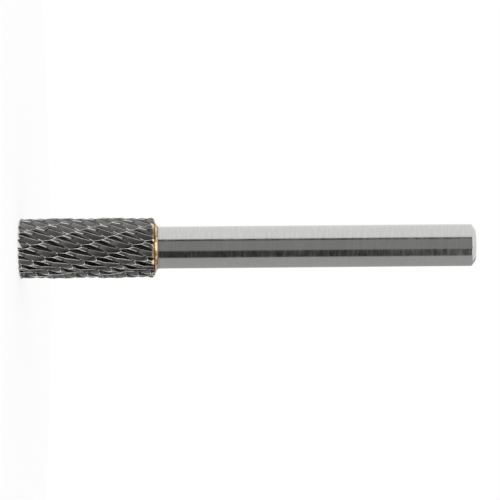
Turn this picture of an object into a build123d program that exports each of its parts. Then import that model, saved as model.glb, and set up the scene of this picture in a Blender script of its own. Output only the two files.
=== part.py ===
from build123d import *
import os
from math import cos, radians, sin, tan

# Cylindrical double-cut carbide burr with an end cut, for a 6 mm collet.
# It stands on its cutting end: the end teeth touch z = 0, the axis is Z and the shank points up.
# Three pieces: the ground carbide head, the steel shank, and the braze that joins them end to end.
# Seen from the shank the tool turns clockwise, so every tooth cuts towards falling angles.

# ---------------------------------------------------------------- driving sizes, in millimetres
overall_length = 65.0
shank_diameter = 6.0
shank_chamfer_length = 0.55
shank_chamfer_radial = 0.7
shank_front_chamfer_radial = 0.15

head_diameter = 8.7
head_length = 19.3
rear_bevel_length = 0.4
rear_bevel_radial = 0.3

# main flutes: right-hand helix, one saw tooth each, with a land behind its edge
flute_count = 22
flute_depth = 0.6
flute_land_share = 0.38
flute_land_drop = 0.08
flute_lead = 78.1
flute_rake_share = 0.2
flute_root_flat = 0.12
flute_start_angle = 13.07

# chip breakers: coarser left-hand saw teeth that cross the flutes
breaker_count = 10
breaker_depth = 0.52
breaker_land_share = 0.28
breaker_land_drop = 0.06
breaker_lead = 73.5
breaker_rake_share = 0.14
breaker_start_angle = 24.97

# end cut: radial saw teeth round a conical centre relief, two of them with a deep gash
end_tooth_count = 22
end_tooth_depth = 0.28
main_gash_count = 2
main_gash_depth = 0.6
main_gash_first_tooth = 5
end_tooth_land_angle = 1.6
end_rim_width = 0.6
end_tooth_start_angle = 5.4
end_gash_floor_angle = 2.0
end_gash_inner_radius = 0.4
end_face_dish_angle = 2.8
centre_relief_radius = 1.3
centre_relief_depth = 0.5

# braze between the flat faces, with a fillet up the shank
braze_thickness = 0.1
braze_fillet_radial = 0.6
braze_edge_height = 0.05
braze_fillet_length = 0.5
braze_fillet_sag = 0.09

# ---------------------------------------------------------------- derived sizes
shank_radius = shank_diameter / 2
head_radius = head_diameter / 2
blank_radius = head_radius + rear_bevel_radial
end_rim_inner_radius = head_radius - end_rim_width
braze_radius = shank_radius + braze_fillet_radial
shank_front = head_length + braze_thickness
fillet_top = head_length + braze_fillet_length
head_axis = Line((0, 0, 0), (0, 0, head_length))


def on_circle(radius, angle):
    return (radius * cos(radians(angle)), radius * sin(radians(angle)))


def saw_tooth_outline(count, depth, land_share, land_drop, rake_share, start_angle):
    """Corners of a saw-tooth ring: crest, end of the land, and root of the next rake face."""
    pitch = 360 / count
    corners = []
    for tooth in range(count):
        crest_angle = start_angle + tooth * pitch
        land_angle = crest_angle + land_share * pitch
        root_angle = crest_angle + (1 - rake_share) * pitch
        corners.append(on_circle(head_radius, crest_angle))
        corners.append(on_circle(head_radius - land_drop, land_angle))
        corners.append(on_circle(head_radius - depth, root_angle))
    return corners


# ---------------------------------------------------------------- head: flutes
# A twisted bar as long as the head, with one saw tooth for each flute. The edge of the grinding
# wheel leaves a flat at each root.
with BuildPart() as fluted_bar:
    with BuildSketch(Plane.XY) as flute_section:
        with BuildLine():
            Polyline(
                *saw_tooth_outline(
                    flute_count,
                    flute_depth,
                    flute_land_share,
                    flute_land_drop,
                    flute_rake_share,
                    flute_start_angle,
                ),
                close=True,
            )
        make_face()
        halfway = head_radius - flute_depth / 2
        roots = flute_section.vertices().filter_by(lambda corner: Vector(corner).length < halfway)
        chamfer(roots, length=flute_root_flat)
    flute_guide = Helix(flute_lead, head_length, head_radius, mode=Mode.PRIVATE)
    sweep(path=head_axis, binormal=flute_guide)

# ---------------------------------------------------------------- head: chip breakers
# A second bar, twisted the other way, with fewer and wider teeth.
with BuildPart() as breaker_bar:
    with BuildSketch(Plane.XY) as breaker_section:
        with BuildLine():
            Polyline(
                *saw_tooth_outline(
                    breaker_count,
                    breaker_depth,
                    breaker_land_share,
                    breaker_land_drop,
                    breaker_rake_share,
                    breaker_start_angle,
                ),
                close=True,
            )
        make_face()
    breaker_guide = Helix(breaker_lead, head_length, head_radius, lefthand=True, mode=Mode.PRIVATE)
    sweep(path=head_axis, binormal=breaker_guide)


# ---------------------------------------------------------------- head: end gashes
# The wedge that is cut out between two end teeth. Its back wall stands upright along a radius,
# and its floor climbs from there to the land of the next tooth. It runs out past the blank.
def land_height(distance):
    """Height of an end tooth's land inside the flat rim, where the front dishes in."""
    return (end_rim_inner_radius - distance) * tan(radians(end_face_dish_angle))


def floor_height(distance, depth):
    """Height of a gash's floor at the foot of its back wall, for its depth at the teeth."""
    return depth - (head_radius - distance) * tan(radians(end_gash_floor_angle))


def gash_section(distance, depth):
    """Corners of a gash across a radius, at a distance from the axis."""
    land_side = distance * tan(radians(end_tooth_land_angle - 360 / end_tooth_count))
    return (
        (land_side, land_height(distance)),
        (0, floor_height(distance, depth)),
        (0, -depth),
        (land_side, -depth),
    )


gash_reach = (blank_radius + main_gash_depth, end_gash_inner_radius)
main_gash_start_angle = end_tooth_start_angle + main_gash_first_tooth * 360 / end_tooth_count

with BuildPart() as small_gash:
    for distance in gash_reach:
        with BuildSketch(Plane(origin=(distance, 0, 0), x_dir=(0, 1, 0), z_dir=(1, 0, 0))):
            with BuildLine():
                Polyline(*gash_section(distance, end_tooth_depth), close=True)
            make_face()
    loft(ruled=True)

with BuildPart() as main_gash:
    for distance in gash_reach:
        with BuildSketch(Plane(origin=(distance, 0, 0), x_dir=(0, 1, 0), z_dir=(1, 0, 0))):
            with BuildLine():
                Polyline(*gash_section(distance, main_gash_depth), close=True)
            make_face()
    loft(ruled=True)

# ---------------------------------------------------------------- head: the whole piece
# A turned blank gives the dished front, the centre relief and the bevelled rear edge. It is
# wider than the teeth by the bevel's own depth, so its bevel is twice as long at first.
# End gashes, flutes and chip breakers are then ground into it.
with BuildPart() as cutting_head:
    with BuildSketch(Plane.XZ):
        with BuildLine():
            Polyline(
                (0, land_height(centre_relief_radius) + centre_relief_depth),
                (centre_relief_radius, land_height(centre_relief_radius)),
                (end_rim_inner_radius, 0),
                (blank_radius, 0),
                (blank_radius, head_length - 2 * rear_bevel_length),
                (head_radius - rear_bevel_radial, head_length),
                (0, head_length),
                close=True,
            )
        make_face()
    revolve(axis=Axis.Z)
    with PolarLocations(0, end_tooth_count, start_angle=end_tooth_start_angle):
        add(small_gash.part, mode=Mode.SUBTRACT)
    with PolarLocations(0, main_gash_count, start_angle=main_gash_start_angle):
        add(main_gash.part, mode=Mode.SUBTRACT)
    add(fluted_bar.part, mode=Mode.INTERSECT)
    add(breaker_bar.part, mode=Mode.INTERSECT)

# ---------------------------------------------------------------- braze
# A thin disc between the flat faces. Its rim wets the rear of the head, and a hollow fillet
# climbs from there over the shank's front chamfer, to the edge of its ground cylinder.
with BuildPart() as braze_joint:
    with BuildSketch(Plane.XZ):
        with BuildLine():
            Polyline(
                (shank_radius, fillet_top),
                (shank_radius - shank_front_chamfer_radial, shank_front),
                (0, shank_front),
                (0, head_length),
                (braze_radius, head_length),
                (braze_radius, head_length + braze_edge_height),
            )
            SagittaArc(
                (braze_radius, head_length + braze_edge_height),
                (shank_radius, fillet_top),
                braze_fillet_sag,
            )
        make_face()
    revolve(axis=Axis.Z)

# ---------------------------------------------------------------- shank
# A ground cylinder, chamfered at both ends. The front chamfer is filled by the braze.
with BuildPart() as shank:
    with BuildSketch(Plane.XZ):
        with BuildLine():
            Polyline(
                (0, shank_front),
                (shank_radius - shank_front_chamfer_radial, shank_front),
                (shank_radius, fillet_top),
                (shank_radius, overall_length - shank_chamfer_length),
                (shank_radius - shank_chamfer_radial, overall_length),
                (0, overall_length),
                close=True,
            )
        make_face()
    revolve(axis=Axis.Z)

os.makedirs("parts", exist_ok=True)
cutting_head.part.label = "cutting_head"
braze_joint.part.label = "braze_joint"
shank.part.label = "shank"
export_step(cutting_head.part, "parts/cutting_head.step")
export_step(braze_joint.part, "parts/braze_joint.step")
export_step(shank.part, "parts/shank.step")
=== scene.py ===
from math import cos, pi, radians, sin, tan

import bmesh
import bpy
from mathutils import Matrix, Vector, noise


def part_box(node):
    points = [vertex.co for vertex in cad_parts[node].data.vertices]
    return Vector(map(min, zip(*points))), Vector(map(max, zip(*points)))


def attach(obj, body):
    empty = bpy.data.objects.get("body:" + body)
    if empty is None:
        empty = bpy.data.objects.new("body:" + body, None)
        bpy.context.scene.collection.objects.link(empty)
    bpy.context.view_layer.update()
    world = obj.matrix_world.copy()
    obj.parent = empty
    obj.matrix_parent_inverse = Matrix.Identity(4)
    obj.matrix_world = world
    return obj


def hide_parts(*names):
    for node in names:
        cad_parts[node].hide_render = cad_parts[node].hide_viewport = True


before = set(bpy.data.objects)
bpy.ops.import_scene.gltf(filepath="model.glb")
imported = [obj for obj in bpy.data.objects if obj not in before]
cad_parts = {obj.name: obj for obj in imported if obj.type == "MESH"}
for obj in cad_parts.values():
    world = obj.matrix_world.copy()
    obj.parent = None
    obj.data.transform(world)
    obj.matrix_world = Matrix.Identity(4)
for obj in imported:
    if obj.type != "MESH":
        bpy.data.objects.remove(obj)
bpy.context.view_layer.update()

# ---------------------------------------------------------------- camera
# A long lens looks square on at the burr from the side. It is rolled over, so that the
# standing burr lies across the picture with its cutting end at the left.
mm = 0.001
picture = 500
pixels_per_mm = 7.007
front_pixel = 19.7
axis_pixels_above_middle = 3.2
axis_climb = radians(0.48)
camera_distance = 388 * mm

focal_pixels = pixels_per_mm * camera_distance / mm
camera_data = bpy.data.cameras.new("camera")
camera_data.sensor_width = 36
camera_data.lens = camera_data.sensor_width * focal_pixels / picture
camera_data.clip_start = 0.01
camera_data.clip_end = 20
camera = bpy.data.objects.new("camera", camera_data)
bpy.context.scene.collection.objects.link(camera)
picture_right = Vector((sin(axis_climb), 0, cos(axis_climb)))
picture_up = Vector((-cos(axis_climb), 0, sin(axis_climb)))
towards_viewer = picture_right.cross(picture_up)
turn = Matrix((picture_right, picture_up, towards_viewer)).transposed().to_4x4()
aim = Vector((axis_pixels_above_middle, 0, picture / 2 - front_pixel)) * mm / pixels_per_mm
camera.matrix_world = Matrix.Translation(aim + towards_viewer * camera_distance) @ turn
bpy.context.scene.camera = camera

# ---------------------------------------------------------------- background
# The world is plain white. It lights the burr evenly from all sides and is its background, and
# the bright metal mirrors it.
world = bpy.data.worlds.new("white_background")
bpy.context.scene.world = world
world.use_nodes = True
background = world.node_tree.nodes["Background"]
background.inputs["Color"].default_value = (1, 1, 1, 1)
background.inputs["Strength"].default_value = 1

# ---------------------------------------------------------------- cloths and cards
# Two grey cloths and two narrow black cards stand round the burr, out of the camera's sight, and
# give the bright metal its bands. Each has its start and end in degrees round from the viewer's
# side, its lowest and highest point in degrees of height, and its grey.
card_distance = 1.5
studio_cards = {
    "front_cloth": (-20, 35, -40, 40, 0.35),
    "lower_cloth": (-170, -60, -40, 40, 0.55),
    "lower_black_card": (-60, -20, -10, 10, 0.03),
    "upper_black_card": (35, 45, -10, 10, 0.03),
}
for name, (card_start, card_end, lowest, highest, grey) in studio_cards.items():
    card_mesh = bpy.data.meshes.new(name)
    shape = bmesh.new()
    side = [
        shape.verts.new((
            -card_distance * sin(radians(card_start)),
            -card_distance * cos(radians(card_start)),
            card_distance * tan(radians(height)),
        ))
        for height in (lowest, highest)
    ]
    bmesh.ops.spin(
        shape, geom=side + [shape.edges.new(side)], axis=(0, 0, 1), cent=(0, 0, 0),
        angle=-radians(card_end - card_start), steps=24, use_merge=False,
    )
    shape.to_mesh(card_mesh)
    shape.free()
    card = bpy.data.objects.new(name, card_mesh)
    bpy.context.scene.collection.objects.link(card)
    card.visible_camera = False
    matt_grey = bpy.data.materials.new(name)
    matt_grey.use_nodes = True
    matt_grey.node_tree.nodes.clear()
    matt = matt_grey.node_tree.nodes.new("ShaderNodeBsdfDiffuse")
    matt.inputs["Color"].default_value = (grey, grey, grey, 1)
    card_out = matt_grey.node_tree.nodes.new("ShaderNodeOutputMaterial")
    matt_grey.node_tree.links.new(matt.outputs[0], card_out.inputs["Surface"])
    card_mesh.materials.append(matt_grey)

# ---------------------------------------------------------------- soft box
# One large soft box hangs high in front of the burr.
box_data = bpy.data.lights.new("overhead_box", "AREA")
box_data.shape = "SQUARE"
box_data.size = 0.3
box_data.energy = 0.7
overhead_box = bpy.data.objects.new("overhead_box", box_data)
overhead_box.location = (-0.08, -0.25, 0.55)
overhead_box.rotation_euler = overhead_box.location.to_track_quat("Z", "Y").to_euler()
bpy.context.scene.collection.objects.link(overhead_box)

# ---------------------------------------------------------------- floor
# A round sheet of white paper, on which the burr stands. It glows as white as the background,
# in the metal too, and keeps a soft shadow.
paper_radius = 60 * mm
paper_share = 0.25
floor_mesh = bpy.data.meshes.new("floor")
shape = bmesh.new()
bmesh.ops.create_circle(shape, cap_ends=True, segments=96, radius=paper_radius)
shape.to_mesh(floor_mesh)
shape.free()
floor = bpy.data.objects.new("floor", floor_mesh)
bpy.context.scene.collection.objects.link(floor)
paper = bpy.data.materials.new("white_paper")
paper.use_nodes = True
nodes, links = paper.node_tree.nodes, paper.node_tree.links
nodes.clear()
matt = nodes.new("ShaderNodeBsdfDiffuse")
matt.inputs["Color"].default_value = (0.9, 0.9, 0.9, 1)
glow = nodes.new("ShaderNodeEmission")
glow.inputs["Strength"].default_value = 1
rays = nodes.new("ShaderNodeLightPath")
seen = rays.outputs["Is Camera Ray"]
for mirrored in ("Is Glossy Ray", "Is Transmission Ray"):
    either = nodes.new("ShaderNodeMath")
    either.operation = "MAXIMUM"
    links.new(seen, either.inputs[0])
    links.new(rays.outputs[mirrored], either.inputs[1])
    seen = either.outputs[0]
share = nodes.new("ShaderNodeMath")
share.operation = "MULTIPLY"
share.inputs[1].default_value = 1 - paper_share
links.new(seen, share.inputs[0])
blend = nodes.new("ShaderNodeMixShader")
links.new(share.outputs[0], blend.inputs["Fac"])
links.new(matt.outputs[0], blend.inputs[1])
links.new(glow.outputs[0], blend.inputs[2])
paper_out = nodes.new("ShaderNodeOutputMaterial")
links.new(blend.outputs[0], paper_out.inputs["Surface"])
floor_mesh.materials.append(paper)

# ---------------------------------------------------------------- cutting head
# One bar of sintered carbide, with ground flutes, chip breakers across them and an end cut. Its
# worn edges are rounded, and painted near white as a painted highlight. The wide lands behind the
# flutes are painted paler, a painted sheen, and the narrow lands of the chip breakers are painted
# darker, a painted shade, and are rougher.
weld_distance = 0.02 * mm
worn_edge_width = 0.038 * mm
keen_edge_angle = radians(38)
facet_angle = radians(12)
fine_land_tilt = (0.12, 0.42)
coarse_land_tilt = (0.02, 0.12)

head_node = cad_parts["cutting_head"]
shape = bmesh.new()
shape.from_mesh(head_node.data)
worn_edge_painted_highlight = shape.faces.layers.float.new("worn_edge_painted_highlight")
sheen_painted_land = shape.faces.layers.float.new("sheen_painted_land")
shade_painted_land = shape.faces.layers.float.new("shade_painted_land")
bmesh.ops.remove_doubles(shape, verts=shape.verts, dist=weld_distance)
bmesh.ops.dissolve_degenerate(shape, edges=shape.edges, dist=weld_distance / 2)
rear_height = max(corner.co.z for corner in shape.verts)
keen_edges = [
    edge for edge in shape.edges
    if edge.calc_face_angle_signed(0) > keen_edge_angle
    and min(corner.co.z for corner in edge.verts) < rear_height - weld_distance
]
# The sharp edges are rounded off, and these rounded faces later get the painted highlight.
bevelled_edges = bmesh.ops.bevel(
    shape, geom=keen_edges, affect="EDGES", offset_type="OFFSET", offset=worn_edge_width,
    segments=2, profile=0.5, material=-1, clamp_overlap=False, loop_slide=True,
)
for corner in shape.verts:
    corner.co.z = min(max(corner.co.z, 0), rear_height)
shape.normal_update()
# Facets tilted well forwards along the turn are flagged for a painted sheen, and those tilted less
# are flagged for a painted shade.
for facet in shape.faces:
    facet.smooth = True
    outwards = facet.calc_center_median() * Vector((1, 1, 0))
    along_turn = Vector((0, 0, 1)).cross(outwards.normalized())
    tilt = facet.normal.dot(along_turn)
    if fine_land_tilt[0] < tilt < fine_land_tilt[1]:
        facet[sheen_painted_land] = 1
    elif coarse_land_tilt[0] < tilt <= coarse_land_tilt[1]:
        facet[shade_painted_land] = 1
for facet in bevelled_edges["faces"]:
    if facet.is_valid:
        facet[worn_edge_painted_highlight] = 1
        facet[sheen_painted_land] = 0
        facet[shade_painted_land] = 0
for edge in shape.edges:
    edge.smooth = edge.calc_face_angle(0) < facet_angle
head_mesh = bpy.data.meshes.new("ground_head")
shape.to_mesh(head_mesh)
shape.free()
ground_head = bpy.data.objects.new("ground_head", head_mesh)
bpy.context.scene.collection.objects.link(ground_head)
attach(ground_head, "root")
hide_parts("cutting_head")

carbide = bpy.data.materials.new("ground_carbide")
carbide.use_nodes = True
nodes, links = carbide.node_tree.nodes, carbide.node_tree.links
surface = nodes["Principled BSDF"]
place = nodes.new("ShaderNodeTexCoord")


def noise_texture(name, scale, detail, vector):
    """A cloud pattern, whose scale is in repeats for each metre."""
    pattern = nodes.new("ShaderNodeTexNoise")
    pattern.label = name
    pattern.inputs["Scale"].default_value = scale
    pattern.inputs["Detail"].default_value = detail
    links.new(vector, pattern.inputs["Vector"])
    return pattern.outputs["Fac"]


def spread(value, low, high, out_low, out_high):
    """A value stretched from one range to another, and held there."""
    stretch = nodes.new("ShaderNodeMapRange")
    stretch.inputs["From Min"].default_value = low
    stretch.inputs["From Max"].default_value = high
    stretch.inputs["To Min"].default_value = out_low
    stretch.inputs["To Max"].default_value = out_high
    links.new(value, stretch.inputs["Value"])
    return stretch.outputs["Result"]


def calculate(operation, first, second):
    """Two values, or a value and a number, put through one sum."""
    step = nodes.new("ShaderNodeMath")
    step.operation = operation
    for socket, value in zip(step.inputs, (first, second)):
        if isinstance(value, (int, float)):
            socket.default_value = value
        else:
            links.new(value, socket)
    return step.outputs[0]


def blend_colours(amount, first, second):
    """One colour laid over another, by an amount from 0 to 1."""
    step = nodes.new("ShaderNodeMix")
    step.data_type = "RGBA"
    links.new(amount, step.inputs["Factor"])
    for socket, colour in ((step.inputs["A"], first), (step.inputs["B"], second)):
        if isinstance(colour, tuple):
            socket.default_value = (*colour, 1)
        else:
            links.new(colour, socket)
    return step.outputs["Result"]


def attribute(name):
    """A value that the mesh holds for each facet."""
    reader = nodes.new("ShaderNodeAttribute")
    reader.attribute_name = name
    return reader.outputs["Fac"]


def depth_below(radius, whole_depth):
    """How deep a point lies below a cylinder round the axis, as a share of a whole depth."""
    flat = nodes.new("ShaderNodeVectorMath")
    flat.operation = "MULTIPLY"
    flat.inputs[1].default_value = (1, 1, 0)
    links.new(place.outputs["Object"], flat.inputs[0])
    length = nodes.new("ShaderNodeVectorMath")
    length.operation = "LENGTH"
    links.new(flat.outputs[0], length.inputs[0])
    return spread(length.outputs["Value"], radius, radius - whole_depth, 0, 1)


def height_above_floor():
    """How high a point lies above the floor, in metres."""
    split = nodes.new("ShaderNodeSeparateXYZ")
    links.new(place.outputs["Object"], split.inputs[0])
    return split.outputs["Z"]


def unwound(lead):
    """Object coordinates turned back along a helix, so that a pattern on them follows it."""
    turned = nodes.new("ShaderNodeVectorRotate")
    turned.rotation_type = "Z_AXIS"
    links.new(place.outputs["Object"], turned.inputs["Vector"])
    links.new(calculate("MULTIPLY", height_above_floor(), -2 * pi / lead), turned.inputs["Angle"])
    return turned.outputs["Vector"]


def stretched(vector, sideways, along):
    """Coordinates pulled out along the axis, for grinding lines."""
    pulled = nodes.new("ShaderNodeMapping")
    pulled.inputs["Scale"].default_value = (sideways, sideways, along)
    links.new(vector, pulled.inputs["Vector"])
    return pulled.outputs["Vector"]


def bumps(strength, distance, *heights):
    """Fine relief from one or more patterns, laid one on another."""
    normal = None
    for pattern in heights:
        relief = nodes.new("ShaderNodeBump")
        relief.inputs["Strength"].default_value = strength
        relief.inputs["Distance"].default_value = distance
        links.new(pattern, relief.inputs["Height"])
        if normal is not None:
            links.new(normal, relief.inputs["Normal"])
        normal = relief.outputs["Normal"]
    return normal


head_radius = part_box("cutting_head")[1][0]
tooth_depth = 0.6 * mm
flute_lead = 78.1 * mm
breaker_lead = 73.5 * mm
braze_reach = 0.26 * mm

grain = noise_texture("grain", 9000, 3, place.outputs["Object"])
clouds = noise_texture("clouds", 900, 4, place.outputs["Object"])
flute_lines = noise_texture("flute_lines", 1, 3, stretched(unwound(flute_lead), 14000, 1200))
breaker_lines = noise_texture("breaker_lines", 1, 3, stretched(unwound(-breaker_lead), 11000, 900))
on_painted_highlight = attribute("worn_edge_painted_highlight")
on_sheen_painted_land = attribute("sheen_painted_land")
on_shade_painted_land = attribute("shade_painted_land")
gullet = depth_below(head_radius, tooth_depth)

bare = blend_colours(clouds, (0.08, 0.08, 0.083), (0.15, 0.15, 0.147))
# A paler copy of the carbide for the wide lands: a painted sheen.
painted_sheen_colour = blend_colours(grain, (0.15, 0.148, 0.144), (0.25, 0.247, 0.24))
ground = blend_colours(on_sheen_painted_land, bare, painted_sheen_colour)
# A darker copy of the carbide for the narrow chip breaker lands: a painted shade.
ground = blend_colours(on_shade_painted_land, ground, (0.11, 0.11, 0.11))
# The gullets are painted darker the deeper they lie: a painted shade.
painted_gullet_shade = spread(gullet, 0.35, 1.0, 0, 0.75)
ground = blend_colours(painted_gullet_shade, ground, (0.075, 0.068, 0.058))
straw = spread(calculate("MULTIPLY", clouds, spread(gullet, 0.5, 0.95, 0, 1)), 0.48, 0.60, 0, 0.5)
ground = blend_colours(straw, ground, (0.34, 0.25, 0.12))
# The worn edges are painted near white: a painted highlight.
ground = blend_colours(on_painted_highlight, ground, (0.99, 0.97, 0.93))
creep = calculate("MULTIPLY", spread(clouds, 0.35, 0.65, -1, 1), 0.12 * mm)
creep = calculate("ADD", height_above_floor(), creep)
wetted = spread(creep, rear_height - braze_reach, rear_height - braze_reach / 2, 0, 1)
gold = blend_colours(spread(clouds, 0.42, 0.6, 0, 1), (0.10, 0.06, 0.035), (0.85, 0.66, 0.40))
ground = blend_colours(wetted, ground, gold)
links.new(ground, surface.inputs["Base Color"])
roughness = spread(grain, 0.3, 0.7, 0.15, 0.25)
land_roughness = calculate("MULTIPLY", on_sheen_painted_land, 0.12)
roughness = calculate("ADD", roughness, land_roughness)
roughness = calculate("ADD", roughness, calculate("MULTIPLY", on_shade_painted_land, 0.25))
links.new(roughness, surface.inputs["Roughness"])
# The worn edges are also less metallic, so that the painted highlight shows.
links.new(spread(on_painted_highlight, 0, 1, 1, 0.75), surface.inputs["Metallic"])
links.new(bumps(0.35, 0.003 * mm, flute_lines, breaker_lines, grain), surface.inputs["Normal"])
head_mesh.materials.append(carbide)

# ---------------------------------------------------------------- braze
# Silver braze with a golden skin, which ran out from between the head and the shank and set
# in a hollow fillet. It is thicker in some places than in others.
braze_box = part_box("braze_joint")
braze_foot = braze_box[0][2]
braze_top = braze_box[1][2]
braze_radius = braze_box[1][0]
shank_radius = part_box("shank")[1][0]
edge_height = 0.05 * mm
fillet_hollow = 0.3
fillet_steps = 8
waves = 2.2
wave_depth = 0.05 * mm

shape = bmesh.new()
profile = [shape.verts.new((0, 0, braze_foot)), shape.verts.new((braze_radius, 0, braze_foot))]
for step in range(fillet_steps + 1):
    share = step / fillet_steps
    sunk = fillet_hollow * sin(pi * share) * (braze_radius - shank_radius) / 2
    radius = braze_radius + (shank_radius - braze_radius) * share - sunk
    level = braze_foot + edge_height + (braze_top - braze_foot - edge_height) * share
    profile.append(shape.verts.new((radius, 0, level)))
profile.append(shape.verts.new((0, 0, braze_top)))
sides = [shape.edges.new(pair) for pair in zip(profile, profile[1:])]
bmesh.ops.spin(
    shape, geom=profile + sides, axis=(0, 0, 1), cent=(0, 0, 0), angle=2 * pi, steps=128,
    use_merge=True,
)
bmesh.ops.remove_doubles(shape, verts=shape.verts, dist=0.001 * mm)
bmesh.ops.recalc_face_normals(shape, faces=shape.faces)
for corner in shape.verts:
    out = corner.co * Vector((1, 1, 0))
    if out.length > shank_radius + 0.02 * mm:
        lump = noise.noise(corner.co / mm * waves)
        corner.co -= out.normalized() * wave_depth * max(0, lump)
for facet in shape.faces:
    facet.smooth = True
for edge in shape.edges:
    edge.smooth = edge.calc_face_angle(0) < radians(30)
collar_mesh = bpy.data.meshes.new("braze_collar")
shape.to_mesh(collar_mesh)
shape.free()
braze_collar = bpy.data.objects.new("braze_collar", collar_mesh)
bpy.context.scene.collection.objects.link(braze_collar)
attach(braze_collar, "root")
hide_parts("braze_joint")

alloy = bpy.data.materials.new("braze_alloy")
alloy.use_nodes = True
nodes, links = alloy.node_tree.nodes, alloy.node_tree.links
surface = nodes["Principled BSDF"]
surface.inputs["Metallic"].default_value = 1
place = nodes.new("ShaderNodeTexCoord")
blotches = noise_texture("blotches", 1400, 4, place.outputs["Object"])
pits = noise_texture("pits", 12000, 3, place.outputs["Object"])
skin = blend_colours(spread(blotches, 0.38, 0.62, 0, 1), (0.26, 0.14, 0.06), (0.96, 0.70, 0.42))
# The collar is painted darker at its foot, next to the head's rear face: a painted shadow of that
# face. It is also darker at its top edge, next to the shank.
painted_head_shadow = spread(height_above_floor(), braze_foot + 0.09 * mm, braze_foot + 0.15 * mm, 1, 0)
dark_top_rim = spread(height_above_floor(), braze_top - 0.13 * mm, braze_top - 0.05 * mm, 0, 0.85)
head_shadow_and_dark_rim = calculate("MAXIMUM", painted_head_shadow, dark_top_rim)
skin = blend_colours(head_shadow_and_dark_rim, skin, (0.10, 0.07, 0.04))
links.new(skin, surface.inputs["Base Color"])
links.new(spread(pits, 0.3, 0.7, 0.25, 0.45), surface.inputs["Roughness"])
links.new(bumps(0.4, 0.01 * mm, blotches, pits), surface.inputs["Normal"])
collar_mesh.materials.append(alloy)

# ---------------------------------------------------------------- shank
# A bar of hardened steel, ground between wheels to its size. The grinding leaves fine rings
# round it and a faint sparkle. Its rear edge is turned to a chamfer, for an easy way into a
# collet, and the heat of the brazing has dulled its front.
shank_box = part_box("shank")
shank_foot = shank_box[0][2]
shank_rear = shank_box[1][2]
filled_chamfer = 0.15 * mm
chamfer_length = 0.55 * mm
chamfer_radial = 0.7 * mm
edge_round = 0.05 * mm

shape = bmesh.new()
outline = [
    (0, shank_foot),
    (shank_radius - filled_chamfer, shank_foot),
    (shank_radius, braze_top),
    (shank_radius, braze_top + edge_round),
    (shank_radius, shank_rear - chamfer_length - 3 * edge_round),
    (shank_radius, shank_rear - chamfer_length),
    (shank_radius - chamfer_radial, shank_rear),
    (0, shank_rear),
]
profile = [shape.verts.new((radius, 0, level)) for radius, level in outline]
sides = [shape.edges.new(pair) for pair in zip(profile, profile[1:])]
bmesh.ops.spin(
    shape, geom=profile + sides, axis=(0, 0, 1), cent=(0, 0, 0), angle=2 * pi, steps=192,
    use_merge=True,
)
bmesh.ops.remove_doubles(shape, verts=shape.verts, dist=0.001 * mm)
bmesh.ops.recalc_face_normals(shape, faces=shape.faces)
rims = [
    edge for edge in shape.edges
    if edge.calc_face_angle(0) > radians(30)
    and min(corner.co.z for corner in edge.verts) > shank_rear - chamfer_length - edge_round
]
bmesh.ops.bevel(
    shape, geom=rims, affect="EDGES", offset_type="OFFSET", offset=edge_round, segments=3,
    profile=0.5, material=-1, clamp_overlap=True, loop_slide=True,
)
for facet in shape.faces:
    facet.smooth = True
for edge in shape.edges:
    edge.smooth = edge.calc_face_angle(0) < radians(25)
shank_mesh = bpy.data.meshes.new("ground_shank")
shape.to_mesh(shank_mesh)
shape.free()
ground_shank = bpy.data.objects.new("ground_shank", shank_mesh)
bpy.context.scene.collection.objects.link(ground_shank)
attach(ground_shank, "root")
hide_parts("shank")

steel = bpy.data.materials.new("ground_steel")
steel.use_nodes = True
nodes, links = steel.node_tree.nodes, steel.node_tree.links
surface = nodes["Principled BSDF"]
surface.inputs["Metallic"].default_value = 1
place = nodes.new("ShaderNodeTexCoord")
rings = noise_texture("rings", 1, 4, stretched(place.outputs["Object"], 500, 4000))
sparkle = noise_texture("sparkle", 6000, 2, place.outputs["Object"])
patches = noise_texture("patches", 120, 3, place.outputs["Object"])
bright = blend_colours(patches, (0.585, 0.58, 0.57), (0.64, 0.635, 0.625))
streaks = spread(rings, 0.35, 0.65, 0.14, 0)
bright = blend_colours(streaks, bright, (0.25, 0.25, 0.25))
dulled = spread(height_above_floor(), braze_top, braze_top + 0.35 * mm, 0.45, 0)
bright = blend_colours(dulled, bright, (0.33, 0.31, 0.28))
links.new(bright, surface.inputs["Base Color"])
links.new(spread(rings, 0.35, 0.65, 0.12, 0.20), surface.inputs["Roughness"])
links.new(bumps(0.6, 0.003 * mm, sparkle), surface.inputs["Normal"])
shank_mesh.materials.append(steel)

bpy.context.scene.view_settings.view_transform = "Standard"
